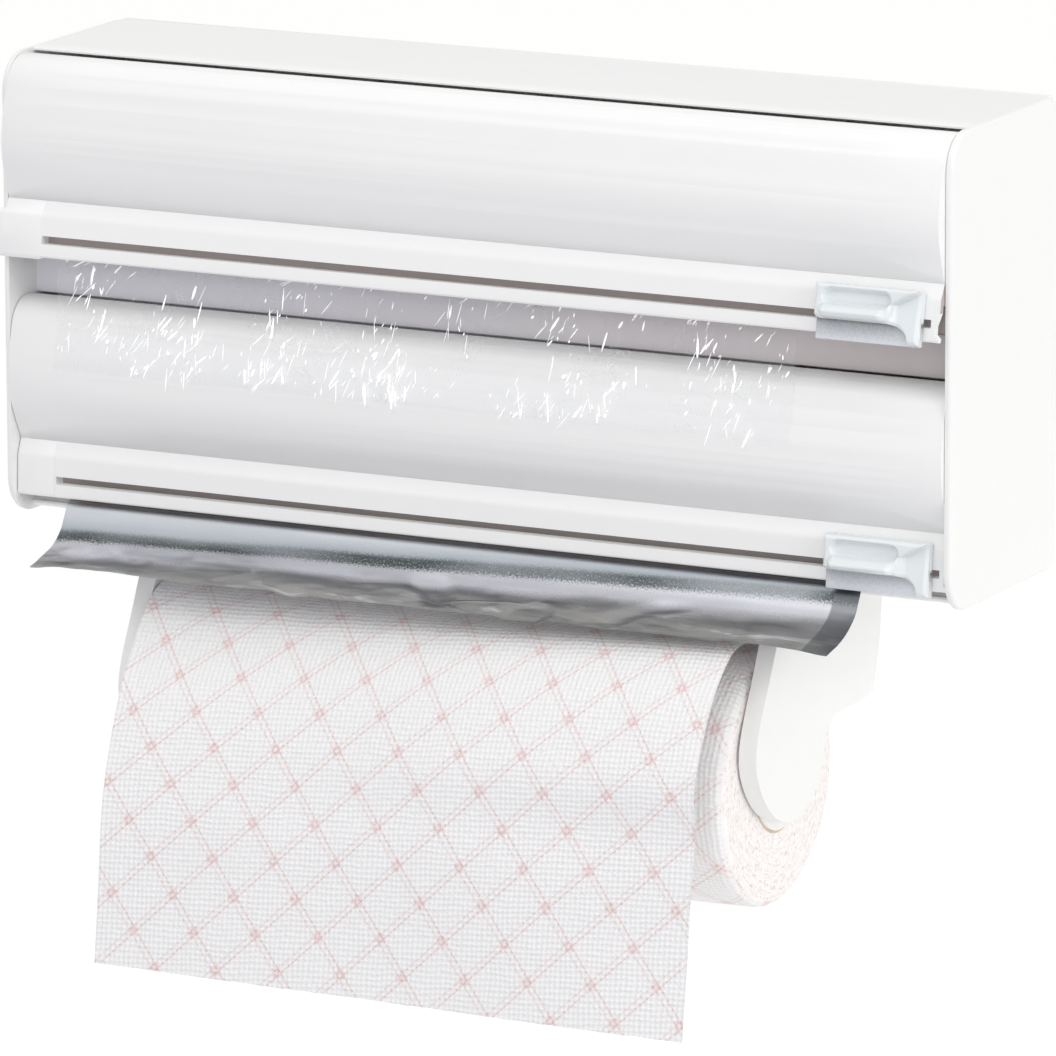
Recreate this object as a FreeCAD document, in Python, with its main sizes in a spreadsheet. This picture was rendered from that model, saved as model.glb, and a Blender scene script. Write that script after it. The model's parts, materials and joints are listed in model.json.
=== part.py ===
import FreeCAD, Part
import Sketcher
import math
import os

# Wall-mounted kitchen roll dispenser: cling film above, foil below, kitchen paper hanging underneath.
# X runs along the dispenser, the wall is the plane Y = 0, forward is -Y, and Z = 0 is mid-height.
# Profiles are given as (forward from the wall, height above the housing's underside).

doc = FreeCAD.newDocument("roll_dispenser")
Vector = FreeCAD.Vector

sizes = {
    "housing_height": 173.5,
    "half_width": 190.0,
    "cheek_thick": 2.5,
    "cheek_front": 91.0,
    "cheek_round": 1.6,
    "wall_thick": 2.5,
    "panel_front": 70.4,
    "shelf_height": 84.5,
    "shelf_skirt": 81.4,
    "shelf_lip": 98.0,
    "screw_pitch_x": 280.0,
    "screw_pitch_z": 110.0,
    "screw_hole": 2.5,
    "lid_half": 189.7,
    "lid_thick": 2.4,
    "lid_end": 2.0,
    "upper_pivot_forward": 76.0,
    "upper_pivot_height": 169.0,
    "pin_radius": 1.5,
    "pin_reach": 2.0,
    "pin_gap": 0.05,
    "lower_turn": 7.6,
    "lower_forward": 0.7,
    "lower_drop": 89.6,
    "rail_left": -174.0,
    "slot_left": -173.5,
    "slot_right": 186.5,
    "slot_height": 3.0,
    "slot_middle": 106.5,
    "tab_left": -191.8,
    "slider_left": 143.0,
    "slider_long": 41.0,
    "shoe_inset": 7.0,
    "blade_long": 12.0,
    "blade_thick": 0.5,
    "shaft_radius": 6.0,
    "shaft_gap": 0.05,
    "cradle_thick": 6.0,
    "core_radius": 16.5,
    "core_bore": 15.2,
    "film_axis_forward": 40.0,
    "film_axis_height": 128.0,
    "film_radius": 23.0,
    "film_left": -170.0,
    "film_wide": 301.0,
    "foil_axis_forward": 38.0,
    "foil_axis_height": 42.0,
    "foil_radius": 20.5,
    "foil_left": -170.0,
    "foil_wide": 325.0,
    "paper_axis_forward": 72.0,
    "paper_axis_height": -71.0,
    "paper_radius": 47.8,
    "paper_left": -129.0,
    "paper_wide": 245.0,
    "paper_core": 20.0,
    "paper_bore": 19.0,
    "hub_radius": 18.95,
    "hub_boss": 10.0,
    "hub_reach": 12.0,
    "arm_gap": 1.0,
    "arm_deep": 7.0,
    "arm_plate": 3.0,
    "arm_flange": 16.0,
    "flange_thick": 3.0,
    "arm_screw_radius": 1.6,
    "arm_screw_bite": 2.0,
    "sheet_thick": 0.5,
}

sheet = doc.addObject("Spreadsheet::Sheet", "Sheet")
for row, (alias, value) in enumerate(sizes.items(), start=1):
    sheet.set("A" + str(row), alias)
    sheet.set("B" + str(row), str(value))
    sheet.setAlias("B" + str(row), alias)
doc.recompute()


def size(alias):
    return float(sheet.get(alias))


def bind(item, path, rule):
    item.setExpression(path, rule)


def at(forward, height):
    return Vector(-forward, height - size("housing_height") / 2, 0)


def new_body(label):
    body = doc.addObject("PartDesign::Body", label)
    body.Label = label
    return body


def new_sketch(body, name, role, shift=None):
    sketch = body.newObject("Sketcher::SketchObject", body.Label + "_" + name)
    plane = [item for item in body.Origin.OriginFeatures if item.Role == role][0]
    sketch.AttachmentSupport = [(plane, "")]
    sketch.MapMode = "FlatFace"
    if shift is not None:
        bind(sketch, "AttachmentOffset.Base.z", shift)
    return sketch


def draw(sketch, runs):
    """Closed outline: two points make a line, three an arc, more a smooth curve."""
    for run in runs:
        if len(run) == 2:
            sketch.addGeometry(Part.LineSegment(run[0], run[1]))
        elif len(run) == 3:
            sketch.addGeometry(Part.ArcOfCircle(*run))
        else:
            curve = Part.BSplineCurve()
            curve.interpolate(run)
            sketch.addGeometry(curve)
    return sketch


def corners(points):
    closed = points + points[:1]
    return [[closed[index], closed[index + 1]] for index in range(len(points))]


def add_circle(sketch, centre, rule):
    index = sketch.addGeometry(Part.Circle(centre, Vector(0, 0, 1), 1.0))
    sketch.addConstraint(Sketcher.Constraint("Radius", index, 1.0))
    name = "radius_" + str(index)
    sketch.renameConstraint(sketch.ConstraintCount - 1, name)
    bind(sketch, "Constraints." + name, rule)


def pad(body, sketch, length):
    feature = body.newObject("PartDesign::Pad", sketch.Label + "_pad")
    feature.Profile = sketch
    bind(feature, "Length", length)
    sketch.Visibility = False
    doc.recompute()
    return feature


def pocket(body, sketch, length):
    before = body.Shape.Volume
    feature = body.newObject("PartDesign::Pocket", sketch.Label + "_cut")
    feature.Profile = sketch
    bind(feature, "Length", length)
    sketch.Visibility = False
    doc.recompute()
    if feature.Shape.isNull() or body.Shape.Volume > before - 0.01:
        feature.Reversed = True
        doc.recompute()
    return feature


def inset(points, distance):
    """Points moved sideways off a run of points, to the inner side for a run going down the front."""
    moved = []
    for index, point in enumerate(points):
        ahead = points[min(index + 1, len(points) - 1)]
        behind = points[max(index - 1, 0)]
        along = (ahead - behind).normalize()
        moved.append(point + Vector(-along.y, along.x, 0) * distance)
    return moved


def ribbon(points, thick):
    other = inset(points, thick)
    other.reverse()
    return [points, [points[-1], other[0]], other, [other[-1], points[0]]]


def strip_body(label, path, left, wide):
    body = new_body(label)
    sketch = new_sketch(body, "path", "YZ_Plane", left)
    draw(sketch, ribbon([at(*point) for point in path], size("sheet_thick")))
    pad(body, sketch, wide)
    return body


def block(label, outline, left, wide):
    body = new_body(label)
    sketch = new_sketch(body, "outline", "YZ_Plane", left)
    draw(sketch, corners([at(*point) for point in outline]))
    pad(body, sketch, wide)
    return body


def tube(label, left, wide, forward, height, outer, inner):
    body = new_body(label)
    sketch = new_sketch(body, "ring", "YZ_Plane", left)
    centre = at(size(forward), size(height))
    add_circle(sketch, centre, outer)
    add_circle(sketch, centre, inner)
    pad(body, sketch, wide)
    return body


def add_drum(body, name, centre, radius, left, wide):
    sketch = new_sketch(body, name, "YZ_Plane", left)
    add_circle(sketch, centre, radius)
    return pad(body, sketch, wide)


finished = []
arm_screw_rows = (20.0, 50.0)


def arm_screw_across(side):
    reach = size("arm_gap") + size("arm_deep") + size("arm_flange") / 2 + 1.0
    right = size("paper_left") + size("paper_wide")
    return right + reach if side > 0 else size("paper_left") - reach


# ---- housing mouldings ----------------------------------------------------------------

def make_back_panel():
    body = new_body("back_panel")
    wall = size("wall_thick")
    high = size("housing_height")
    sketch = new_sketch(body, "outline", "YZ_Plane", "-Sheet.half_width")
    draw(sketch, corners([at(0, 0), at(wall, 0), at(wall, high), at(0, high)]))
    pad(body, sketch, "2 * Sheet.half_width")
    holes = new_sketch(body, "screw_holes", "XZ_Plane")
    for side in (-1, 1):
        for level in (-1, 1):
            across = side * size("screw_pitch_x") / 2
            up = level * size("screw_pitch_z") / 2
            add_circle(holes, Vector(across, up, 0), "Sheet.screw_hole")
    cut = pocket(body, holes, "4 * Sheet.wall_thick")
    cut.Midplane = True
    doc.recompute()
    return body


def make_top_panel():
    wall = size("wall_thick")
    high = size("housing_height")
    front = size("panel_front")
    outline = [(wall, high - wall), (front - 9, high - wall), (front - 7, high - 1.5), (front - 0.4, high - 1.5),
               (front, high - 1.2), (front, high - 0.6), (front - 0.8, high - 0.2), (front - 8, high),
               (wall, high)]
    return block("top_panel", outline, "-Sheet.half_width", "2 * Sheet.half_width")


def make_middle_shelf():
    wall = size("wall_thick")
    low = size("shelf_height")
    lip = size("shelf_lip")
    front = size("panel_front")
    skirt = size("shelf_skirt")
    outline = [(wall, low), (front - 2.4, low), (front - 2.0, skirt), (front - 0.4, skirt), (front, skirt + 0.4),
               (front, lip - 0.6), (front - 0.6, lip), (front - 1.8, lip), (front - 2.4, lip - 0.6),
               (front - 2.4, low + wall), (wall, low + wall)]
    return block("middle_shelf", outline, "-Sheet.half_width", "2 * Sheet.half_width")


def make_base_tray():
    wall = size("wall_thick")
    outline = [(wall, 0), (68.0, 0), (74.0, 1.0), (75.6, 1.8), (76.2, 2.6), (76.2, 3.4), (75.6, 3.8),
               (74.9, 4.0), (74.7, 6.6), (74.3, 6.9), (73.6, 6.9), (73.3, 6.6), (72.6, 3.6), (68.0, wall),
               (wall, wall)]
    body = block("base_tray", outline, "-Sheet.half_width", "2 * Sheet.half_width")
    holes = new_sketch(body, "arm_screw_holes", "XY_Plane", "-Sheet.housing_height / 2")
    for side in (-1, 1):
        for forward in arm_screw_rows:
            add_circle(holes, Vector(arm_screw_across(side), -forward, 0), "Sheet.arm_screw_radius")
    pocket(body, holes, "Sheet.arm_screw_bite")
    return body


def rounded(corner, radius, along_in, along_out):
    """Arc that rounds a square corner, entered along one direction and left along the other."""
    corner = at(*corner)
    arrive = corner - along_in * radius
    leave = corner + along_out * radius
    middle = corner + (along_out - along_in) * radius * (1 - math.sqrt(0.5))
    return [arrive, middle, leave]


def cheek_runs(front):
    high = size("housing_height")
    forward = Vector(-1, 0, 0)
    up = Vector(0, 1, 0)
    arcs = [rounded((front, 0), 15.0, forward, up), rounded((front, high), 14.0, up, -forward),
            rounded((0, high), 6.0, -forward, -up), rounded((0, 0), 6.0, -up, forward)]
    runs = []
    for index, arc in enumerate(arcs):
        runs.append(arc)
        runs.append([arc[2], arcs[(index + 1) % 4][0]])
    return runs


def lower_spot(forward, height):
    """Where a point of the upper lid lands once the same lid hangs in the lower place."""
    turn = math.radians(size("lower_turn"))
    ahead = forward - 72.0
    rise = height - 172.0
    return (72.0 + size("lower_forward") + ahead * math.cos(turn) + rise * math.sin(turn),
            172.0 - size("lower_drop") + rise * math.cos(turn) - ahead * math.sin(turn))


def make_cheek(label, side):
    body = new_body(label)
    start = "Sheet.half_width" if side > 0 else "-Sheet.half_width - Sheet.cheek_thick"
    sketch = new_sketch(body, "profile", "YZ_Plane", start)
    draw(sketch, cheek_runs(size("cheek_front")))
    feature = pad(body, sketch, "Sheet.cheek_thick")
    outer = side * (size("half_width") + size("cheek_thick"))
    rim = []
    for index, edge in enumerate(feature.Shape.Edges, start=1):
        box = edge.BoundBox
        if abs(box.XMin - outer) < 0.01 and abs(box.XMax - outer) < 0.01 and box.YMin < -0.5:
            rim.append("Edge" + str(index))
    soft = body.newObject("PartDesign::Fillet", label + "_soft_rim")
    soft.Base = (feature, rim)
    bind(soft, "Radius", "Sheet.cheek_round")
    doc.recompute()
    holes = new_sketch(body, "pin_holes", "YZ_Plane", "Sheet.half_width" if side > 0 else "-Sheet.half_width")
    upper = (size("upper_pivot_forward"), size("upper_pivot_height"))
    for spot in (upper, lower_spot(*upper)):
        add_circle(holes, at(*spot), "Sheet.pin_radius + Sheet.pin_gap")
    cut = body.newObject("PartDesign::Pocket", label + "_pin_cut")
    cut.Profile = holes
    cut.Reversed = side > 0
    bind(cut, "Length", "Sheet.pin_reach - 0.2")
    holes.Visibility = False
    doc.recompute()
    return body


def make_cradle(label, side, forward, height):
    body = new_body(label)
    start = "Sheet.half_width - Sheet.cradle_thick" if side > 0 else "-Sheet.half_width"
    sketch = new_sketch(body, "outline", "YZ_Plane", start)
    centre_f = size(forward)
    centre_h = size(height)
    bore = size("shaft_radius") + size("shaft_gap")
    low = centre_h - 15.0
    rim = centre_h + 8.0
    sketch.addGeometry(Part.ArcOfCircle(at(centre_f - bore, centre_h), at(centre_f, centre_h - bore),
                                        at(centre_f + bore, centre_h)))
    around = [(centre_f + bore, centre_h), (centre_f + bore, rim), (centre_f + 12.0, rim),
              (centre_f + 12.0, centre_h - 6.0), (centre_f + 6.0, low), (centre_f - 6.0, low),
              (centre_f - 12.0, centre_h - 6.0), (centre_f - 12.0, rim), (centre_f - bore, rim),
              (centre_f - bore, centre_h)]
    spots = [at(*spot) for spot in around]
    draw(sketch, [[spots[index], spots[index + 1]] for index in range(len(spots) - 1)])
    pad(body, sketch, "Sheet.cradle_thick")
    return body


# ---- lids, rails and sliders: one design, used above and below ------------------------------

lid_line = [(72.4, 170.2), (75.2, 172.0), (79.0, 172.6), (83.4, 171.9), (87.0, 169.9), (90.1, 166.2),
            (92.3, 161.0), (94.8, 153.0), (96.3, 144.5), (95.9, 136.0), (93.4, 127.5), (91.0, 120.4)]
rail_top_inner = (88.73, 121.18)
rail_crease = (94.0, 115.0)
rail_foot = (96.5, 101.2)


def face_line(height):
    slope = (rail_foot[0] - rail_crease[0]) / (rail_crease[1] - rail_foot[1])
    return rail_crease[0] + (rail_crease[1] - height) * slope


def hang_low(body):
    """Puts a piece made in the upper place into the lower place."""
    turn = FreeCAD.Rotation(Vector(1, 0, 0), size("lower_turn"))
    hinge = Vector(0, -72.0, 172.0 - size("housing_height") / 2)
    landed = Vector(0, -72.0 - size("lower_forward"), hinge.z - size("lower_drop"))
    body.Placement = FreeCAD.Placement(landed - turn.multVec(hinge), turn)
    doc.recompute()


def make_lid(label):
    """A curved cover, solid across its two ends and hollowed between them."""
    body = new_body(label)
    outer = [at(*point) for point in lid_line]
    inner = inset(outer, size("lid_thick"))
    inner[-1] = at(*rail_top_inner)
    block_sketch = new_sketch(body, "outline", "YZ_Plane", "-Sheet.lid_half")
    draw(block_sketch, [outer, [outer[-1], inner[-1]], [inner[-1], inner[0]], [inner[0], outer[0]]])
    pad(body, block_sketch, "2 * Sheet.lid_half")
    hollow = new_sketch(body, "hollow", "YZ_Plane", "Sheet.lid_half - Sheet.lid_end")
    behind = Vector(12.0, 0, 0)
    draw(hollow, [inner, [inner[-1], inner[-1] + behind], [inner[-1] + behind, inner[0] + behind],
                  [inner[0] + behind, inner[0]]])
    pocket(body, hollow, "2 * (Sheet.lid_half - Sheet.lid_end)")
    return body


def rail_outline():
    """The rail's face, its foot, and behind the face the channel that the cutter's shoe runs in."""
    face = [lid_line[-1], (93.4, 116.0), (93.85, 115.5), (94.12, 114.4), (96.4, 101.6), (96.45, 100.7),
            (96.1, 100.1), (95.6, 99.9), (94.2, 99.9), (94.0, 100.2)]
    channel = [(91.95, 112.6), (89.4, 112.2), (89.4, 102.2), (88.2, 102.2), (87.6, 114.6)]
    return face + channel + [rail_top_inner]


def make_rail(label):
    body = block(label, rail_outline(), "Sheet.rail_left", "Sheet.lid_half - Sheet.rail_left")
    slot = new_sketch(body, "slot", "XZ_Plane", "110")
    half = size("slot_height") / 2
    middle = size("slot_middle") - size("housing_height") / 2
    left = size("slot_left")
    right = size("slot_right")
    draw(slot, corners([Vector(left, middle - half, 0), Vector(right, middle - half, 0),
                        Vector(right, middle + half, 0), Vector(left, middle + half, 0)]))
    pocket(body, slot, "20")
    notch = new_sketch(body, "notch", "XZ_Plane", "110")
    end = size("lid_half") + 0.1
    drop = size("housing_height") / 2
    draw(notch, corners([Vector(end, 110.5 - drop, 0), Vector(end - 1.5, 105.5 - drop, 0),
                         Vector(end - 1.5, 102.5 - drop, 0), Vector(end, 101.0 - drop, 0)]))
    pocket(body, notch, "19")
    return body


def make_rail_tab(label, laps_cheek):
    """The closed left end of a rail. The upper one laps over the front edge of the end cover."""
    body = block(label, rail_outline(), "-Sheet.lid_half", "Sheet.rail_left + Sheet.lid_half")
    if not laps_cheek:
        return body
    front = new_sketch(body, "front", "YZ_Plane", "Sheet.tab_left")
    draw(front, corners([at(*point) for point in [(93.0, 117.0), rail_crease, rail_foot, (96.0, 99.3),
                                                  (94.0, 99.3), (93.0, 100.0)]]))
    pad(body, front, "Sheet.rail_left - Sheet.tab_left")
    return body


def make_pin(label, start):
    body = new_body(label)
    centre = at(size("upper_pivot_forward"), size("upper_pivot_height"))
    add_drum(body, "drum", centre, "Sheet.pin_radius", start, "Sheet.pin_reach")
    return body


def make_slider_plate(label):
    gap = 0.12
    outline = [(face_line(98.0) + gap, 98.0), (face_line(98.0) + gap + 2.2, 98.4),
               (face_line(118.0) + gap + 2.2, 117.4), (face_line(118.0) + gap, 118.0)]
    return block(label, outline, "Sheet.slider_left", "Sheet.slider_long")


def make_slider_grip(label):
    skin = 2.32
    boss = [(face_line(105.0) + skin, 105.0), (face_line(105.0) + skin + 6.0, 105.6),
            (face_line(107.0) + skin + 6.4, 107.0), (face_line(109.0) + skin + 4.2, 109.0),
            (face_line(116.6) + skin + 3.2, 116.4), (face_line(117.3) + skin, 117.3)]
    body = block(label, boss, "Sheet.slider_left", "Sheet.slider_long * 0.62")
    wing = new_sketch(body, "wing", "YZ_Plane", "Sheet.slider_left")
    draw(wing, corners([at(*point) for point in [
        (face_line(103.4) + skin, 103.4), (face_line(103.4) + skin + 2.2, 103.9),
        (face_line(116.6) + skin + 1.4, 116.6), (face_line(117.3) + skin, 117.3)]]))
    pad(body, wing, "Sheet.slider_long")
    hollow = new_sketch(body, "hollow", "XZ_Plane", "110")
    left = size("slider_left") + 4.0
    right = left + 17.0
    low = 108.4 - size("housing_height") / 2
    high = low + 7.2
    draw(hollow, [[Vector(left + 3.6, low, 0), Vector(right - 3.6, low, 0)],
                  [Vector(right - 3.6, high, 0), Vector(left + 3.6, high, 0)]])
    middle = (low + high) / 2
    hollow.addGeometry(Part.ArcOfCircle(Vector(right - 3.6, low, 0), Vector(right, middle, 0),
                                        Vector(right - 3.6, high, 0)))
    hollow.addGeometry(Part.ArcOfCircle(Vector(left + 3.6, high, 0), Vector(left, middle, 0),
                                        Vector(left + 3.6, low, 0)))
    pocket(body, hollow, "10.8")
    return body


def make_slider_shoe(label):
    half = size("slot_height") / 2 - 0.05
    low = size("slot_middle") - half
    top = size("slot_middle") + half
    gap = 0.12
    outline = [(face_line(low) + gap, low), (face_line(top) + gap, top), (92.60, top), (92.18, 110.5),
               (90.40, 110.1), (90.40, 102.1), (93.50, 102.5), (93.08, low)]
    return block(label, outline, "Sheet.slider_left + Sheet.shoe_inset",
                 "Sheet.slider_long - 2 * Sheet.shoe_inset")


def make_blade(label):
    body = new_body(label)
    sketch = new_sketch(body, "outline", "XZ_Plane", "89.9")
    left = size("slider_left") + 14.5
    long = size("blade_long")
    drop = size("housing_height") / 2
    draw(sketch, corners([Vector(left, 103.5 - drop, 0), Vector(left + long / 2, 99.9 - drop, 0),
                          Vector(left + long, 103.5 - drop, 0), Vector(left + long, 108.0 - drop, 0),
                          Vector(left, 108.0 - drop, 0)]))
    pad(body, sketch, "Sheet.blade_thick")
    return body


# ---- rolls --------------------------------------------------------------------------

def make_spindles(label, forward, height, left, right):
    """Two end plugs of a roll: a plug in the core, a flange against it and a shaft to the cradle."""
    body = new_body(label)
    centre = at(size(forward), size(height))
    reach = "(Sheet.half_width - 0.5)"
    add_drum(body, "left_shaft", centre, "Sheet.shaft_radius", "-" + reach, left + " - 2 + " + reach)
    add_drum(body, "left_flange", centre, "Sheet.core_radius + 1.5", left + " - 4", "2")
    add_drum(body, "left_plug", centre, "Sheet.core_bore", left + " - 2", "16")
    add_drum(body, "right_plug", centre, "Sheet.core_bore", right + " - 14", "16")
    add_drum(body, "right_flange", centre, "Sheet.core_radius + 1.5", right + " + 2", "2")
    add_drum(body, "right_shaft", centre, "Sheet.shaft_radius", right + " + 2", reach + " - 2 - (" + right + ")")
    return body


# ---- paper arms ---------------------------------------------------------------------

arm_rear = [(1.2, 0.0), (1.6, -20.0), (4.4, -38.0), (9.0, -51.5)]
arm_foot = [(9.0, -51.5), (17.0, -52.3), (30.0, -52.6), (40.0, -53.2), (46.0, -56.0), (50.0, -64.0)]
arm_lobe = [(50.0, -64.0), (55.0, -75.0), (65.0, -83.0), (78.0, -85.0), (91.0, -80.5), (102.0, -70.0),
            (107.0, -58.0), (104.5, -46.0), (98.0, -33.0), (90.5, -18.0), (84.0, -6.0)]


def arm_runs(inset_by):
    """The arm's outline, moved inwards by a margin along the edge that carries the rim."""
    centre = at(58.0, -45.0)

    def pull(point):
        spot = at(*point)
        toward = centre - spot
        if inset_by == 0:
            return spot
        return spot + toward.normalize() * inset_by

    rear = [pull(point) for point in arm_rear]
    foot = [pull(point) for point in arm_foot]
    lobe = [pull(point) for point in arm_lobe]
    last = pull((84.0, 0.0))
    return [rear, foot, lobe, [lobe[-1], last], [last, rear[0]]]


def make_arm(label, side, inner):
    """Side arm: a plate with a turned-in rim, and a screwed flange under the housing."""
    body = new_body(label)
    start = inner if side > 0 else inner + " - Sheet.arm_deep"
    sketch = new_sketch(body, "profile", "YZ_Plane", start)
    draw(sketch, arm_runs(0))
    pad(body, sketch, "Sheet.arm_deep")
    hollow = new_sketch(body, "hollow", "YZ_Plane", inner)
    draw(hollow, arm_runs(3.6))
    cut = body.newObject("PartDesign::Pocket", label + "_hollow_cut")
    cut.Profile = hollow
    cut.Reversed = side > 0
    bind(cut, "Length", "Sheet.arm_deep - Sheet.arm_plate")
    hollow.Visibility = False
    doc.recompute()
    flange_start = inner + " + Sheet.arm_deep" if side > 0 else inner + " - Sheet.arm_deep - Sheet.arm_flange"
    flange = new_sketch(body, "flange", "YZ_Plane", flange_start)
    thick = size("flange_thick")
    draw(flange, corners([at(8.0, 0), at(62.0, 0), at(62.0, -thick), at(8.0, -thick)]))
    pad(body, flange, "Sheet.arm_flange")
    holes = new_sketch(body, "screw_holes", "XY_Plane", "-Sheet.housing_height / 2")
    across = arm_screw_across(side)
    for forward in arm_screw_rows:
        add_circle(holes, Vector(across, -forward, 0), "Sheet.arm_screw_radius")
    drill = body.newObject("PartDesign::Pocket", label + "_screw_cut")
    drill.Profile = holes
    bind(drill, "Length", "Sheet.flange_thick + 1")
    holes.Visibility = False
    doc.recompute()
    return body


def make_hub(label, side, inner):
    body = new_body(label)
    centre = at(size("paper_axis_forward"), size("paper_axis_height"))
    deep = size("arm_deep") - size("arm_plate")
    if side > 0:
        add_drum(body, "boss", centre, "Sheet.hub_boss", inner, str(deep))
        add_drum(body, "plug", centre, "Sheet.hub_radius", inner + " - Sheet.arm_gap - Sheet.hub_reach",
                 "Sheet.hub_reach + Sheet.arm_gap")
    else:
        add_drum(body, "boss", centre, "Sheet.hub_boss", inner + " - " + str(deep), str(deep))
        add_drum(body, "plug", centre, "Sheet.hub_radius", inner, "Sheet.hub_reach + Sheet.arm_gap")
    return body


def make_arm_screws(label):
    """Four screws up through the arm flanges, in one piece each: shank and pan head."""
    solids = []
    under = -size("housing_height") / 2
    thick = size("flange_thick")
    for side in (-1, 1):
        for forward in arm_screw_rows:
            spot = Vector(arm_screw_across(side), -forward, under - thick)
            shank = Part.makeCylinder(size("arm_screw_radius"), thick + size("arm_screw_bite"), spot)
            head = Part.makeCylinder(3.2, 2.0, spot - Vector(0, 0, 2.0))
            solids.append(head.fuse(shank))
    screws = doc.addObject("Part::Feature", label)
    screws.Label = label
    screws.Shape = Part.makeCompound(solids)
    return screws


# ---- assembly ------------------------------------------------------------------------

finished.append(make_back_panel())
finished.append(make_top_panel())
finished.append(make_middle_shelf())
finished.append(make_base_tray())
finished.append(make_cheek("left_cheek", -1))
finished.append(make_cheek("right_cheek", 1))

for name in ("film", "foil"):
    for word, side in (("left", -1), ("right", 1)):
        finished.append(make_cradle(name + "_cradle_" + word, side, name + "_axis_forward",
                                    name + "_axis_height"))

for place in ("upper", "lower"):
    group = [make_lid(place + "_lid"), make_rail(place + "_rail"), make_rail_tab(place + "_rail_tab", place == "upper"),
             make_slider_plate(place + "_slider_plate"), make_slider_grip(place + "_slider_grip"),
             make_slider_shoe(place + "_slider_shoe"), make_blade(place + "_cutter_blade")]
    for word, start in (("left", "-Sheet.lid_half - Sheet.pin_reach"), ("right", "Sheet.lid_half")):
        group.append(make_pin(place + "_hinge_pin_" + word, start))
    if place == "lower":
        for body in group:
            hang_low(body)
    finished += group

for name in ("film", "foil"):
    left = "Sheet." + name + "_left"
    wide = "Sheet." + name + "_wide"
    axis = (name + "_axis_forward", name + "_axis_height")
    finished.append(tube(name + "_winding", left, wide, *axis, "Sheet." + name + "_radius",
                         "Sheet.core_radius"))
    finished.append(tube(name + "_core", left + " - 2", wide + " + 4", *axis, "Sheet.core_radius",
                         "Sheet.core_bore"))
    finished.append(make_spindles(name + "_spindles", *axis, left, left + " + " + wide))

paper_axis = ("paper_axis_forward", "paper_axis_height")
finished.append(tube("paper_winding", "Sheet.paper_left", "Sheet.paper_wide", *paper_axis,
                     "Sheet.paper_radius", "Sheet.paper_core"))
finished.append(tube("paper_core", "Sheet.paper_left", "Sheet.paper_wide", *paper_axis,
                     "Sheet.paper_core", "Sheet.paper_bore"))

right_inner = "Sheet.paper_left + Sheet.paper_wide + Sheet.arm_gap"
left_inner = "Sheet.paper_left - Sheet.arm_gap"
finished.append(make_arm("left_arm", -1, left_inner))
finished.append(make_arm("right_arm", 1, right_inner))
finished.append(make_hub("left_hub", -1, left_inner))
finished.append(make_hub("right_hub", 1, right_inner))
finished.append(make_arm_screws("arm_screws"))

film_path = [(66.0, 99.2), (76.0, 99.3), (84.0, 98.7), (88.6, 96.2), (89.9, 90.0), (90.0, 82.0),
             (90.9, 76.0), (92.6, 69.0), (94.0, 61.0)]
foil_path = [(64.0, 6.6), (72.0, 8.0), (79.0, 7.7), (85.0, 5.6), (89.5, -0.8), (97.0, -6.4), (106.0, -9.2),
             (114.5, -11.2)]
paper_path = [(62.0, -21.2), (78.0, -18.8), (94.0, -20.0), (112.0, -30.5), (125.5, -50.0),
              (133.5, -74.0), (140.0, -110.0), (147.0, -151.0)]
finished.append(strip_body("film_tail", film_path, "Sheet.film_left", "Sheet.film_wide"))
finished.append(strip_body("foil_tail", foil_path, "Sheet.foil_left", "Sheet.foil_wide"))
finished.append(strip_body("paper_tail", paper_path, "Sheet.paper_left", "Sheet.paper_wide"))

doc.recompute()
for item in doc.Objects:
    for word in ("Invalid", "Error"):
        if word in item.State:
            raise RuntimeError(item.Label + " is " + word)

os.makedirs("parts", exist_ok=True)
for item in finished:
    if item.Shape.isNull() or not item.Shape.isValid():
        raise RuntimeError(item.Label + " has no sound shape")
    item.Shape.exportStep("parts/" + item.Label + ".step")
    box = item.Shape.BoundBox
    print(item.Label, len(item.Shape.Solids), round(item.Shape.Volume), [round(value, 2) for value in
          (box.XMin, box.XMax, box.YMin, box.YMax, box.ZMin, box.ZMax)])
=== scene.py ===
import json
import math
import bpy
import bmesh
from mathutils import Matrix, Vector, noise


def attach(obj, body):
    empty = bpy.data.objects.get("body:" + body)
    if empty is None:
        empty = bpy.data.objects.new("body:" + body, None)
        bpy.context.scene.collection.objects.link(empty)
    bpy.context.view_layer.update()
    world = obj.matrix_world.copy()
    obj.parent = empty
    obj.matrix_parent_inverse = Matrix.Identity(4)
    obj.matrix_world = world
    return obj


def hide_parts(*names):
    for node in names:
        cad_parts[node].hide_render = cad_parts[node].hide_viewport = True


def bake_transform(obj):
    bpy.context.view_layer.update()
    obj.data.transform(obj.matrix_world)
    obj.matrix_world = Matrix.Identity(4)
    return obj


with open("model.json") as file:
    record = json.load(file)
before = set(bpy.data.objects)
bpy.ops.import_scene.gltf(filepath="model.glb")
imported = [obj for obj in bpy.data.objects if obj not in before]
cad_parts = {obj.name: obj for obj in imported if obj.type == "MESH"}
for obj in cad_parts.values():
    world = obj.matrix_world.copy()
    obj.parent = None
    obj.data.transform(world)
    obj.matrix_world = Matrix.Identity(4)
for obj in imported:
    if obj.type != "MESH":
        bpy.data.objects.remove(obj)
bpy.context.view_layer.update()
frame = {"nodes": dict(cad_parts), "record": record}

mm = 0.001
inMm = 1000.0
halfHeight = 0.08675  # the frame's zero is mid-height, and heights below are over the underside


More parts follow.
